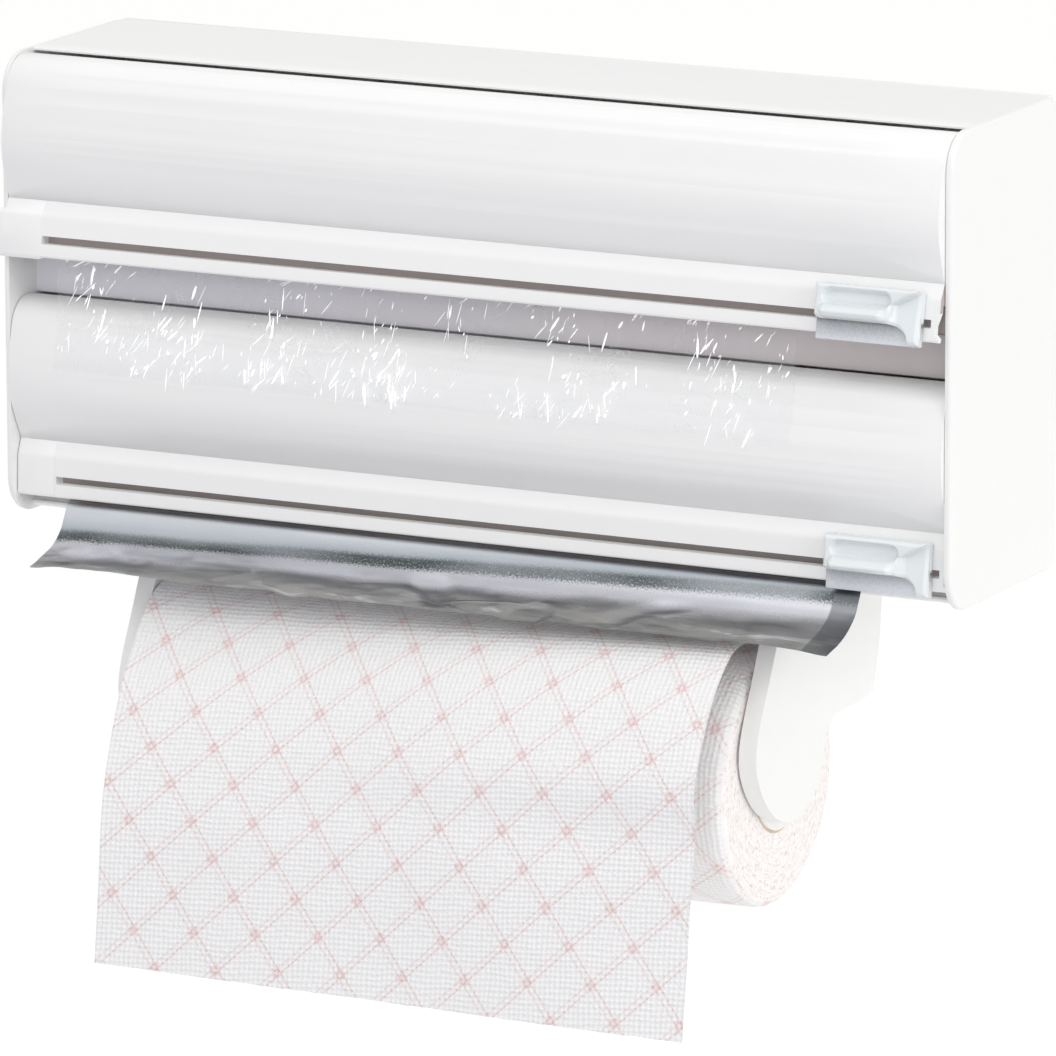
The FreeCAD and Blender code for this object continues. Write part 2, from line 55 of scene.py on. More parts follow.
# A number, colour or vector on its way through a shader, so that a finish can be written as sums
class Value:
    def __init__(self, shader, socket):
        self.shader = shader
        self.socket = socket

    def math(self, operation, first, second):
        return self.shader.add("ShaderNodeMath", {"operation": operation}, {0: first, 1: second})

    def __add__(self, other):
        return self.math("ADD", self, other)

    def __sub__(self, other):
        return self.math("SUBTRACT", self, other)

    def __rsub__(self, other):
        return self.math("SUBTRACT", other, self)

    def __mul__(self, other):
        return self.math("MULTIPLY", self, other)

    def __gt__(self, other):
        return self.math("GREATER_THAN", self, other)

    def __lt__(self, other):
        return self.math("LESS_THAN", self, other)


# A material and the shader nodes that make it
class Finish:
    def __init__(self, name, **fixed):
        self.material = bpy.data.materials.new(name)
        self.material.use_nodes = True
        self.tree = self.material.node_tree
        self.surface = self.tree.nodes["Principled BSDF"]
        for socket, value in fixed.items():
            self.surface.inputs[socket.replace("_", " ")].default_value = value

    def add(self, kind, settings=None, inputs=None, output=0):
        node = self.tree.nodes.new(kind)
        for key, value in (settings or {}).items():
            if key == "stops":
                ramp = node.color_ramp
                while len(ramp.elements) < len(value):
                    ramp.elements.new(0.5)
                for element, (place, colour) in zip(ramp.elements, value):
                    element.position = place
                    element.color = (*colour, 1)
            else:
                setattr(node, key, value)
        for key, value in (inputs or {}).items():
            self.join(node.inputs[key], value)
        return Value(self, node.outputs[output])

    def join(self, socket, value):
        if isinstance(value, Value):
            self.tree.links.new(value.socket, socket)
        elif isinstance(value, tuple) and len(value) == 3 and socket.type == "RGBA":
            socket.default_value = (*value, 1)
        else:
            socket.default_value = value

    def set(self, **links):
        for socket, value in links.items():
            self.join(self.surface.inputs[socket.replace("_", " ")], value)
        return self.material

    def objectPlace(self):
        return self.add("ShaderNodeTexCoord", output="Object")

    def sheetPlace(self):
        return self.add("ShaderNodeTexCoord", output="UV")

    def part(self, vector, axis):
        return self.add("ShaderNodeSeparateXYZ", inputs={0: vector}, output=axis)

    def noise(self, place, scale, detail=3.0, roughness=0.5, distortion=0.0):
        return self.add("ShaderNodeTexNoise", inputs={"Vector": place, "Scale": scale, "Detail": detail,
                                                      "Roughness": roughness, "Distortion": distortion})

    def ramp(self, factor, stops):
        return self.add("ShaderNodeValToRGB", {"stops": stops}, {0: factor})

    def mix(self, low, high, factor):
        return self.add("ShaderNodeMix", {"data_type": "RGBA"}, {0: factor, 6: low, 7: high}, output=2)

    def ranged(self, value, low, high, newLow=0.0, newHigh=1.0):
        return self.add("ShaderNodeMapRange", {"clamp": True},
                        {0: value, 1: low, 2: high, 3: newLow, 4: newHigh})

    def overNoise(self, value, newLow, newHigh):
        # nearly all of a noise texture lies between 0.3 and 0.7
        return self.ranged(value, 0.3, 0.7, newLow, newHigh)

    def bump(self, height, strength, distance, under=None):
        inputs = {"Height": height, "Strength": strength, "Distance": distance}
        if under is not None:
            inputs["Normal"] = under
        return self.add("ShaderNodeBump", inputs=inputs)

    def stretched(self, place, scale):
        return self.add("ShaderNodeMapping", inputs={"Vector": place, "Scale": scale})

    def single(self, value, operation="SINE"):
        return self.add("ShaderNodeMath", {"operation": operation}, {0: value})


plastic = {"ior": 1.5, "coatRoughness": 0.12, "cloud": 7.0, "mottle": 90.0, "mottleShare": 0.3,
           "sinkDepth": 0.0012, "grain": 1400.0, "grainDepth": 0.000012, "smoother": 0.04, "rougher": 0.05}


def makePlastic(name, colour, shade, roughness, coat=0.0):
    p = plastic
    finish = Finish(name, IOR=p["ior"], Coat_Weight=coat, Coat_Roughness=p["coatRoughness"])
    place = finish.objectPlace()
    cloud = finish.noise(place, p["cloud"])
    mottle = finish.noise(place, p["mottle"], 2.0)
    grain = finish.noise(place, p["grain"], 2.0)
    patchy = finish.ranged(cloud * (1 - p["mottleShare"]) + mottle * p["mottleShare"], 0.35, 0.7)
    sheen = finish.ranged(mottle + cloud * 0.5, 0.5, 1.0,
                          roughness - p["smoother"], roughness + p["rougher"])
    sink = finish.bump(cloud, 0.12, p["sinkDepth"])
    return finish.set(Base_Color=finish.mix(colour, shade, patchy), Roughness=sheen,
                      Normal=finish.bump(grain, 0.25, p["grainDepth"], sink))


sliderPlate = {"coat": 0.3, "speckle": 900.0, "ragged": 0.0008, "speckleDepth": 0.00003,
               "roughness": (0.22, 0.34), "above": 0.004, "below": 0.0065,
               # the stops paint the shade: light above the ridge's underside, a dark painted shadow just
               # below it, then lighter
               "stops": [(0.22, (0.80, 0.83, 0.84)), (0.34, (0.17, 0.17, 0.165)),
                         (0.5, (0.46, 0.47, 0.49)), (1.0, (0.74, 0.77, 0.80))]}


def makeSliderPlate(name, ridgeHeight):
    # painted shade: a dark painted shadow just under the thumb ridge, lighter again towards the plate's
    # lower edge, where the plate stays a little darker than the grip
    s = sliderPlate
    finish = Finish(name, IOR=plastic["ior"], Coat_Weight=s["coat"],
                    Coat_Roughness=plastic["coatRoughness"])
    place = finish.objectPlace()
    speckle = finish.noise(place, s["speckle"], 2.0)
    # how far below the ridge's underside, for the painted shadow, with a ragged edge
    fall = (ridgeHeight * mm - halfHeight) - finish.part(place, "Z") + (speckle - 0.5) * s["ragged"]
    return finish.set(Base_Color=finish.ramp(finish.ranged(fall, -s["above"], s["below"]), s["stops"]),
                      Roughness=finish.overNoise(speckle, *s["roughness"]),
                      Normal=finish.bump(speckle, 0.2, s["speckleDepth"]))


# the inside of the housing, tinted with painted shade: cool at its left and warm and darker at its right
inner = {"streak": (5.0, 160.0, 160.0), "streakDepth": 0.0004, "roughness": (0.42, 0.56), "ragged": 0.2,
         "leftEnd": -0.12, "rightEnd": 0.16,
         "leftShadeTint": (0.93, 0.92, 0.975), "rightShadeTint": (0.87, 0.805, 0.795)}


def makeInner(name):
    s = inner
    finish = Finish(name, IOR=plastic["ior"])
    place = finish.objectPlace()
    streak = finish.noise(finish.stretched(place, s["streak"]), 1.0)
    # the painted shade's tint runs from left to right
    along = finish.ranged(finish.part(place, "X") + (streak - 0.5) * s["ragged"],
                          s["leftEnd"], s["rightEnd"])
    return finish.set(Base_Color=finish.mix(s["leftShadeTint"], s["rightShadeTint"], along),
                      Roughness=finish.overNoise(streak, *s["roughness"]),
                      Normal=finish.bump(streak, 0.15, s["streakDepth"]))


steel = {"streak": (60.0, 2200.0, 2200.0), "streakDepth": 0.00002, "roughness": (0.24, 0.4),
         "dark": (0.58, 0.58, 0.6), "light": (0.74, 0.74, 0.75)}


def makeSteel(name):
    s = steel
    finish = Finish(name, Metallic=1.0)
    streak = finish.noise(finish.stretched(finish.objectPlace(), s["streak"]), 1.0, 2.0)
    return finish.set(Base_Color=finish.mix(s["dark"], s["light"], streak),
                      Roughness=finish.overNoise(streak, *s["roughness"]),
                      Normal=finish.bump(streak, 0.2, s["streakDepth"]))


cardboard = {"fibre": (260.0, 900.0, 900.0), "fibreDepth": 0.00008, "blotch": 60.0, "fibreShare": 0.6,
             "specular": 0.25, "roughness": (0.78, 0.92),
             "dark": (0.60, 0.47, 0.33), "light": (0.78, 0.66, 0.50)}


def makeCard(name):
    s = cardboard
    finish = Finish(name, Specular_IOR_Level=s["specular"])
    place = finish.objectPlace()
    fibre = finish.noise(finish.stretched(place, s["fibre"]), 1.0, 4.0)
    blotch = finish.noise(place, s["blotch"])
    mottled = fibre * s["fibreShare"] + blotch * (1 - s["fibreShare"])
    return finish.set(Base_Color=finish.mix(s["dark"], s["light"], mottled),
                      Roughness=finish.overNoise(blotch, *s["roughness"]),
                      Normal=finish.bump(fibre, 0.4, s["fibreDepth"]))


# lengths in mm; a scale is the number of noise cells in a metre
paperPrint = {
    "alongX": 10.04, "alongDown": 13.6,        # one step of the lattice, down to the right
    "acrossX": 15.95, "acrossDown": -13.76,    # the other step, up to the right
    "pairGap": 1.05, "lineWide": 0.52, "lineCore": 0.35, "dashStep": 1.9, "dashShare": 0.6,
    "dashFaint": 0.45, "pairFaint": 0.65, "lineInk": 0.82, "strength": 0.75,
    "flower": 1.8, "flowerSoft": (0.2, 0.7), "flowerRagged": 3.4, "flowerInk": 0.42, "petals": 620.0,
    "wander": 14.0, "wanderBy": 1.2, "patchy": 800.0, "patchyInk": 0.45,
    # the emboss hollows are painted darker, as shade
    "ink": (0.78, 0.49, 0.47), "white": (0.97, 0.96, 0.955), "hollow": (0.90, 0.89, 0.89),
}
paperEmboss = {"dotStep": 2.9, "drift": 2.0, "slantScale": 60.0, "slopeScale": 75.0,
               "cell": 420.0, "cellBy": 2.2, "dotDepth": 0.00035, "soft": 22.0, "softDepth": 0.0025,
               "fibre": 2400.0, "fibreDepth": 0.00006, "specular": 0.2, "roughness": (0.86, 0.97)}


def makePaperInk(finish, place, across, down):
    # a lattice of fine line pairs, one of each pair fainter and both dashed, with a flower where they cross
    p = paperPrint
    area = p["alongX"] * p["acrossDown"] - p["acrossX"] * p["alongDown"]
    first = across * (p["acrossDown"] / area) - down * (p["acrossX"] / area)
    second = down * (p["alongX"] / area) - across * (p["alongDown"] / area)
    alongLength = math.hypot(p["alongX"], p["alongDown"])
    acrossLength = math.hypot(p["acrossX"], p["acrossDown"])
    lines = []
    nearest = []
    for value, other, run, side in ((second, first, alongLength, acrossLength),
                                    (first, second, acrossLength, alongLength)):
        inCell = finish.single(value + 0.5, "FRACT") - 0.5
        signed = inCell * (abs(area) / run)
        nearest.append(inCell * side)
        offset = finish.single(finish.single(signed, "ABSOLUTE") - p["pairGap"], "ABSOLUTE")
        line = finish.ranged(offset, p["lineWide"] * p["lineCore"], p["lineWide"], 1.0, 0.0)
        dash = finish.single(other * (run / p["dashStep"]), "FRACT") < p["dashShare"]
        solid = signed > 0.0
        lines.append(line * (dash * (1 - p["dashFaint"]) + p["dashFaint"])
                     * (solid * (1 - p["pairFaint"]) + p["pairFaint"]))
    marks = lines[0] + lines[1] - lines[0] * lines[1]
    steps = p["alongX"] * p["acrossX"] + p["alongDown"] * p["acrossDown"]
    skew = steps / (alongLength * acrossLength) * 2
    reach = finish.single(nearest[0] * nearest[0] + nearest[1] * nearest[1]
                          + nearest[0] * nearest[1] * skew, "SQRT")
    petals = finish.noise(place, p["petals"], 1.0)
    inside, outside = p["flowerSoft"]
    flower = finish.ranged(reach + (petals - 0.5) * p["flowerRagged"], p["flower"] - inside,
                           p["flower"] + outside, 1.0, 0.0)
    patchy = finish.ranged(finish.noise(place, p["patchy"], 2.0), 0.3, 0.55, p["patchyInk"])
    return finish.ranged((marks * p["lineInk"] + flower * p["flowerInk"]) * patchy, 0.0, 1.0,
                         0.0, p["strength"])


def makePaper(name):
    p = paperPrint
    e = paperEmboss
    finish = Finish(name, Specular_IOR_Level=e["specular"])
    place = finish.sheetPlace()
    down = finish.part(place, "Y") * inMm
    across = finish.part(place, "X") * inMm + (finish.noise(place, p["wander"], 1.0) - 0.5) * p["wanderBy"]
    ink = makePaperInk(finish, place, across, down)
    step = 2 * math.pi / e["dotStep"]
    diagonal = 0.7071  # the emboss runs across and down at 45 degrees
    slant = (across + down) * diagonal + (finish.noise(place, e["slantScale"], 1.0) - 0.5) * e["drift"]
    slope = (across - down) * diagonal + (finish.noise(place, e["slopeScale"], 1.0) - 0.5) * e["drift"]
    dots = finish.single(slant * step) * finish.single(slope * step)
    cell = finish.noise(place, e["cell"], 2.0)
    height = finish.ranged(dots + (cell - 0.5) * e["cellBy"], -0.5, 1.0)
    fibre = finish.noise(place, e["fibre"], 2.0)
    lift = finish.bump(finish.noise(place, e["soft"]), 0.35, e["softDepth"])
    lift = finish.bump(height, 1.0, e["dotDepth"], lift)
    # painted shade: the emboss's hollows darker than its raised dots
    return finish.set(Base_Color=finish.mix(finish.mix(p["hollow"], p["white"], height), p["ink"], ink),
                      Roughness=finish.overNoise(fibre, *e["roughness"]),
                      Normal=finish.bump(fibre, 0.25, e["fibreDepth"], lift))


rollEnd = {"rings": (1500.0, 40.0, 1.0), "speck": 620.0, "depth": 0.0004, "specular": 0.15,
           "roughness": (0.85, 0.96), "stops": [(0.34, (0.66, 0.58, 0.55)), (0.46, (0.92, 0.87, 0.85)),
                                                (0.62, (0.98, 0.965, 0.955))]}


def makePaperEnd(name):
    # cut end of the roll: fine rings of wound layers, a little ragged
    s = rollEnd
    finish = Finish(name, Specular_IOR_Level=s["specular"])
    rings = finish.noise(finish.stretched(finish.sheetPlace(), s["rings"]), 1.0)
    speck = finish.noise(finish.objectPlace(), s["speck"], 3.0, 0.65)
    return finish.set(Base_Color=finish.ramp(rings * 0.5 + speck * 0.5, s["stops"]),
                      Roughness=finish.overNoise(speck, *s["roughness"]),
                      Normal=finish.bump(rings + speck, 0.8, s["depth"]))


# painted reflections, by mm from the sheet's hidden end: the bright bend, the dark band under the cover,
# the loose part
paintedFoilReflections = [(20, (0.86, 0.87, 0.86)), (26, (0.66, 0.69, 0.73)), (31.0, (0.38, 0.42, 0.46)),
             (32.5, (0.07, 0.085, 0.09)), (35.5, (0.09, 0.11, 0.11)), (37.2, (0.66, 0.66, 0.71)),
             (42, (0.82, 0.82, 0.88)), (46.5, (0.44, 0.44, 0.45)), (57, (0.48, 0.47, 0.45)),
             (64, (0.40, 0.40, 0.39))]
foilLook = {"drift": (9.0, 30.0, 1.0), "crumple": (38.0, 110.0, 1.0), "fine": 1300.0,
            "dent": (26.0, 60.0, 1.0), "looseFrom": 34.0, "looseTo": 44.0,
            "bandEnds": (-170.0, 150.0), "bandSlope": 9.0, "bandDrift": 9.0, "bandGrain": 6.0,
            # most tints below are painted: a dimmer reflection, a highlight, shade in hollows and shade at
            # the sheet's right end
            "bandEnd": 37.0, "dimReflection": (0.56, 0.59, 0.63), "glare": (0.93, 0.93, 0.95),
            "hollow": (0.26, 0.26, 0.26), "frost": (0.72, 0.73, 0.74), "shaded": (0.20, 0.21, 0.22),
            "shadeFrom": 144.5, "shadeTo": 145.3,
            "crumpleDepth": 0.0009, "creaseDepth": 0.0004, "fineDepth": 0.00004, "roughness": (0.26, 0.42)}


def makeFoil(name):
    s = foilLook
    finish = Finish(name, Metallic=1.0)
    place = finish.sheetPlace()
    along = finish.part(place, "Y") * inMm
    across = finish.part(place, "X") * inMm
    drift = finish.noise(finish.stretched(place, s["drift"]), 1.0, 2.0)
    crumple = finish.noise(finish.stretched(place, s["crumple"]), 1.0, 3.0, 0.5, 0.8)
    fine = finish.noise(place, s["fine"], 3.0, 0.7)
    dent = finish.add("ShaderNodeTexVoronoi", {"feature": "DISTANCE_TO_EDGE"},
                      {"Vector": finish.stretched(place, s["dent"]), "Scale": 1.0})
    loose = finish.ranged(along, s["looseFrom"], s["looseTo"])
    crease = finish.ranged(dent, 0.0, 0.05, 1.0, 0.0) * finish.ranged(drift, 0.5, 0.6) * loose
    slid = along + finish.ranged(across, *s["bandEnds"], 0.0, s["bandSlope"])
    slid = slid + (drift - 0.5) * s["bandDrift"] * (loose + 0.4)
    low = paintedFoilReflections[0][0]
    high = paintedFoilReflections[-1][0]
    # painted reflections laid along the sheet
    tint = finish.ramp(finish.ranged(slid + (fine - 0.5) * s["bandGrain"], low, high),
                       [((spot - low) / (high - low), colour) for spot, colour in paintedFoilReflections])
    # patches where the painted reflections are dimmer
    tint = finish.mix(tint, s["dimReflection"], finish.ranged(drift, 0.47, 0.6, 0.0, 0.5) * (slid < s["bandEnd"]))
    # painted highlight on the crumples' crests
    tint = finish.mix(tint, s["glare"], finish.ranged(crumple, 0.58, 0.68, 0.0, 0.7) * loose)
    # painted shade in the crumples' hollows
    tint = finish.mix(tint, s["hollow"], finish.ranged(crumple, 0.44, 0.34, 0.0, 0.6) * loose)
    tint = finish.mix(tint, s["frost"], finish.ranged(fine, 0.5, 0.75, 0.0, 0.45))
    # painted shade at the sheet's right end
    tint = finish.mix(tint, s["shaded"], finish.ranged(across, s["shadeFrom"], s["shadeTo"], 0.0, 0.75))
    lift = finish.bump(crumple * loose, 0.4, s["crumpleDepth"])
    lift = finish.bump(crease, 0.4, s["creaseDepth"], lift)
    return finish.set(Base_Color=tint, Roughness=finish.ranged(fine + crumple, 0.6, 1.3, *s["roughness"]),
                      Normal=finish.bump(fine, 0.25, s["fineDepth"], lift))


filmLook = {"ior": 1.45, "pull": (46.0, 30.0, 1.0), "bend": (120.0, 60.0, 1.0), "patch": 38.0,
            "streakWide": 0.012, "hairWide": 0.010, "streakMark": 0.3, "hairMark": 0.35, "veil": 0.09,
            "pullDepth": 0.002, "bendDepth": 0.0012, "roughness": (0.08, 0.2),
            # the crease marks are painted highlights
            "plain": (0.86, 0.87, 0.90), "paintedHighlight": (0.98, 0.98, 0.98)}


def makeFilm(name):
    # clear film that shows mainly where it creases; the crease mask paints highlights on it and closes it
    # up
    s = filmLook
    finish = Finish(name, IOR=s["ior"])
    place = finish.sheetPlace()
    pull = finish.noise(finish.stretched(place, s["pull"]), 1.0, 3.0, 0.55, 1.4)
    bend = finish.noise(finish.stretched(place, s["bend"]), 1.0, 2.0, 0.5, 2.2)
    streak = finish.ranged(finish.single(pull - 0.5, "ABSOLUTE"), 0.0, s["streakWide"], 1.0, 0.0)
    hair = finish.ranged(finish.single(bend - 0.5, "ABSOLUTE"), 0.0, s["hairWide"], 1.0, 0.0)
    patch = finish.ranged(finish.noise(place, s["patch"], 2.0), 0.5, 0.62)
    marks = (streak * s["streakMark"] + hair * s["hairMark"]) * patch
    lift = finish.bump(pull, 0.6, s["pullDepth"])
    # painted highlight along the creases
    return finish.set(Base_Color=finish.mix(s["plain"], s["paintedHighlight"], marks),
                      Roughness=finish.overNoise(pull, *s["roughness"]),
                      Alpha=finish.ranged(marks, 0.0, 0.8, s["veil"], 0.8),
                      Normal=finish.bump(bend, 0.7, s["bendDepth"], lift))


# the folds' glow is painted light, and the glint mixes a painted highlight
foldLook = {"glow": 0.4, "glint": 900.0, "dull": (0.93, 0.93, 0.95), "bright": (0.99, 0.99, 0.99)}


def makeFold(name):
    # where the film stands up in a fold it glows and gets a painted highlight, as its layers would catch
    # the light
    s = foldLook
    # painted light: the folds glow
    finish = Finish(name, IOR=filmLook["ior"], Emission_Color=(1, 1, 1, 1), Emission_Strength=s["glow"])
    glint = finish.noise(finish.objectPlace(), s["glint"], 2.0)
    return finish.set(Base_Color=finish.mix(s["dull"], s["bright"], glint),
                      Roughness=finish.overNoise(glint, *filmLook["roughness"]),
                      Alpha=finish.ranged(glint, 0.3, 0.6, 0.55, 1.0))


wound = {"bands": (900.0, 6.0, 6.0), "bandShare": 0.6, "soft": 45.0, "softDepth": 0.0004, "rougher": 0.12}


def makeWound(name, colour, shade, metal, roughness):
    s = wound
    finish = Finish(name, Metallic=metal)
    place = finish.objectPlace()
    bands = finish.noise(finish.stretched(place, s["bands"]), 1.0)
    soft = finish.noise(place, s["soft"], 2.0)
    return finish.set(Base_Color=finish.mix(colour, shade,
                                            bands * s["bandShare"] + soft * (1 - s["bandShare"])),
                      Roughness=finish.overNoise(bands, roughness, roughness + s["rougher"]),
                      Normal=finish.bump(soft, 0.3, s["softDepth"]))


whiteShell = makePlastic("whiteShell", (0.905, 0.905, 0.89), (0.885, 0.885, 0.875), 0.36)
whiteLid = makePlastic("whiteLid", (0.915, 0.915, 0.905), (0.895, 0.895, 0.888), 0.33)
innerPlastic = makeInner("innerPlastic")
sliderPlastic = makePlastic("sliderPlastic", (0.83, 0.865, 0.87), (0.79, 0.83, 0.84), 0.2, 0.5)
# the slider plates carry a painted shadow under their thumb ridge
upperPlatePlastic = makeSliderPlate("upperPlatePlastic", 105.6)
lowerPlatePlastic = makeSliderPlate("lowerPlatePlastic", 14.4)
# painted shade for the channel behind the cutter's slot
slotShadePaint = makePlastic("slotShadePaint", (0.54, 0.48, 0.455), (0.46, 0.41, 0.39), 0.5)
blade = makeSteel("groundSteel")
card = makeCard("coreCard")
paper = makePaper("printedPaper")
paperEnd = makePaperEnd("paperEnd")
foil = makeFoil("creasedFoil")
film = makeFilm("clearFilm")
filmFold = makeFold("filmFold")
woundFilm = makeWound("woundFilm", (0.78, 0.81, 0.84), (0.88, 0.90, 0.92), 0.0, 0.12)
woundFoil = makeWound("woundFoil", (0.62, 0.62, 0.64), (0.8, 0.8, 0.82), 1.0, 0.2)
print("finishes ready")


def place(forward, height, across=0.0):
    return Vector((across * mm, -forward * mm, height * mm - halfHeight))


def newPiece(name, mesh, *finishes):
    piece = bpy.data.objects.new(name, mesh)
    bpy.context.scene.collection.objects.link(piece)
    mesh.materials.clear()
    for finish in finishes:
        mesh.materials.append(finish)
    return piece


def smoothBy(mesh, angle):
    mesh.shade_smooth()
    mesh.set_sharp_from_angle(angle=math.radians(angle))


def settle(piece, body, slotName, *nodes):
    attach(piece, body)
    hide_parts(*nodes)


# The upper rail's sloping face starts at this forward and height. The lower cover hangs as the upper one
# does, turned about its hinge by some degrees and moved forward and down.
railFace = {"forward": 94.0, "height": 115.0, "slope": 2.5 / 13.8}
railSlot = {"top": 113.0, "bottom": 100.0, "back": 87.0, "behindFace": 2.0}
upperHinge = {"forward": 72.0, "height": 172.0}
lowerCover = {"turn": 7.6, "forward": 0.7, "drop": 89.6}


def faceForward(height):
    return railFace["forward"] + (railFace["height"] - height) * railFace["slope"]


def inUpperSlot(forward, height):
    return (railSlot["bottom"] < height < railSlot["top"]
            and railSlot["back"] < forward < faceForward(height) - railSlot["behindFace"])


def inLowerSlot(forward, height):
    # the same test, with the lower cover turned back to where the upper one hangs
    turn = math.radians(lowerCover["turn"])
    ahead = forward - upperHinge["forward"] - lowerCover["forward"]
    rise = height - upperHinge["height"] + lowerCover["drop"]
    return inUpperSlot(upperHinge["forward"] + ahead * math.cos(turn) - rise * math.sin(turn),
                       upperHinge["height"] + rise * math.cos(turn) + ahead * math.sin(turn))


slotTests = {"upper_rail": inUpperSlot, "lower_rail": inLowerSlot}
softened = {"mergeAt": 1e-6, "flatAngle": 0.4, "bevelAngle": 40, "sharpAngle": 32, "segments": 2,
            "roundFrom": 1.0, "roundSegments": 5}


def builtMesh(piece):
    # the piece's mesh as its modifiers make it
    bpy.context.view_layer.update()
    built = bpy.data.meshes.new_from_object(piece.evaluated_get(bpy.context.evaluated_depsgraph_get()))
    piece.modifiers.clear()
    piece.data = built
    return built


def softenedCopy(node, finish, body, slotName, edge):
    # the CAD piece itself, with its doubles merged and its corners slightly rounded
    mesh = frame["nodes"][node].data.copy()
    shape = bmesh.new()
    shape.from_mesh(mesh)
    bmesh.ops.remove_doubles(shape, verts=shape.verts, dist=softened["mergeAt"])
    bmesh.ops.dissolve_limit(shape, angle_limit=math.radians(softened["flatAngle"]),
                             verts=shape.verts, edges=shape.edges)
    shape.to_mesh(mesh)
    shape.free()
    piece = newPiece(node + "_finished", mesh, finish)
    if edge:
        bevel = piece.modifiers.new("Bevel", "BEVEL")
        bevel.width = edge * mm
        bevel.segments = softened["roundSegments"] if edge > softened["roundFrom"] else softened["segments"]
        bevel.limit_method = "ANGLE"
        bevel.angle_limit = math.radians(softened["bevelAngle"])
        builtMesh(piece)
    if node in slotTests:
        # the channel behind the cutter's slot, a little way back from the face, gets a dull, dark, warm
        # painted shade
        piece.data.materials.append(slotShadePaint)
        for face in piece.data.polygons:
            if slotTests[node](-face.center.y / mm, (face.center.z + halfHeight) / mm):
                face.material_index = 1
    smoothBy(piece.data, softened["sharpAngle"])
    settle(piece, body, slotName, node)


curveSteps = 24


def smoothPath(points, count):
    # evenly spaced points on a curve through the given (forward, height) points, with their lengths
    spots = [Vector(point) for point in points]
    dense = []
    for index in range(len(spots) - 1):
        before = spots[max(index - 1, 0)]
        start = spots[index]
        end = spots[index + 1]
        after = spots[min(index + 2, len(spots) - 1)]
        for step in range(curveSteps):
            t = step / curveSteps
            bend = 2 * before - 5 * start + 4 * end - after
            swing = 3 * start - before - 3 * end + after
            dense.append(0.5 * (2 * start + (end - before) * t + bend * t * t + swing * t ** 3))
    dense.append(spots[-1])
    lengths = [0.0]
    for first, second in zip(dense, dense[1:]):
        lengths.append(lengths[-1] + (second - first).length)
    result = []
    seek = 0
    for step in range(count + 1):
        want = lengths[-1] * step / count
        while seek < len(lengths) - 2 and lengths[seek + 1] < want:
            seek += 1
        share = (want - lengths[seek]) / max(lengths[seek + 1] - lengths[seek], 1e-9)
        result.append(dense[seek].lerp(dense[seek + 1], share))
    return result, lengths[-1]


def sheetMesh(name, columns, rows, spotAt, markAt):
    # spotAt gives a point for shares across and down; markAt the printed place there, in metres
    mesh = bpy.data.meshes.new(name)
    spots = []
    for row in range(rows + 1):
        for column in range(columns + 1):
            spots.append(spotAt(column / columns, row / rows))
    faces = []
    for row in range(rows):
        for column in range(columns):
            corner = row * (columns + 1) + column
            faces.append((corner, corner + columns + 1, corner + columns + 2, corner + 1))
    mesh.from_pydata(spots, [], faces)
    layer = mesh.uv_layers.new(name="flatCut")
    for loop in mesh.loops:
        row, column = divmod(loop.vertex_index, columns + 1)
        layer.data[loop.index].uv = markAt(column / columns, row / rows)
    mesh.shade_smooth()
    return mesh


# plain pieces from the CAD
bodyOf = {node: body for body, nodes in frame["record"]["behaviour"]["bodies"].items() for node in nodes}
slotOf = {entry["node"]: entry["material_slot"] for entry in frame["record"]["subparts"]}
finishOf = {"white_shell": whiteShell, "white_lid": whiteLid, "hidden_plastic": innerPlastic,
            "slider_plastic": sliderPlastic, "blade_steel": blade, "screw_steel": blade, "core_card": card}
finishFor = {"middle_shelf": innerPlastic, "upper_slider_plate": upperPlatePlastic,
             "lower_slider_plate": lowerPlatePlastic, "film_winding": woundFilm, "foil_winding": woundFoil}
# the nodes whose pieces are shaped further down
shaped = {"film_tail", "foil_tail", "paper_tail", "paper_winding", "upper_slider_grip", "lower_slider_grip"}
commonEdge = 0.25
edgeOf = {}
for edge, nodes in (
        (0.0, ("left_cheek", "right_cheek", "upper_rail", "lower_rail", "top_panel", "base_tray",
               "middle_shelf")),
        (0.05, ("upper_cutter_blade", "lower_cutter_blade")),
        (0.3, ("upper_rail_tab", "lower_rail_tab", "back_panel", "film_winding", "foil_winding")),
        (0.35, ("upper_lid", "lower_lid")),
        (0.5, ("upper_slider_plate", "lower_slider_plate")),
        (3.1, ("left_arm", "right_arm"))):
    for node in nodes:
        edgeOf[node] = edge
for node in sorted(set(bodyOf) - shaped):
    finish = finishFor[node] if node in finishFor else finishOf[slotOf[node]]
    softenedCopy(node, finish, bodyOf[node], slotOf[node], edgeOf.get(node, commonEdge))
print("moulded pieces ready")


# The grip's own measures run across from its left end, down from its top edge and out from the plate's
# face. The skin is what lies between the rail's face and the grip.
grip = {"long": 41.0, "left": 143.0, "top": 118.0, "skin": 2.34, "sink": 0.12, "inset": 0.25, "back": -0.05,
        "columns": 110, "rows": 56, "smooth": 50,
        "deep": 12.9, "corner": 3.2, "cornerRise": 2.6, "tailFrom": 28.0, "tailLong": 8.6, "tailDrop": 6.8,
        "wing": 1.2, "wingGain": 1.2, "boss": 3.0, "bossShort": 29.8, "bossLean": 1.9, "lip": 0.5,
        "dish": (3.4, 30.2, 1.3, 7.8), "dishDeep": 3.6, "ridge": (3.2, 29.6, 7.4, 12.7), "ridgeTall": 4.4,
        "ridgeSoft": 2.4, "rimWide": 1.6, "rimLow": 0.35, "wingSpan": (4, 19), "bossEdge": (-1.2, 2.4),
        "lipWide": 1.3, "lipFade": (8.0, 11.0), "dishEdge": (-0.2, 1.8)}


def eased(value, low, high):
    share = min(max((value - low) / (high - low), 0.0), 1.0)
    return share * share * (3 - 2 * share)


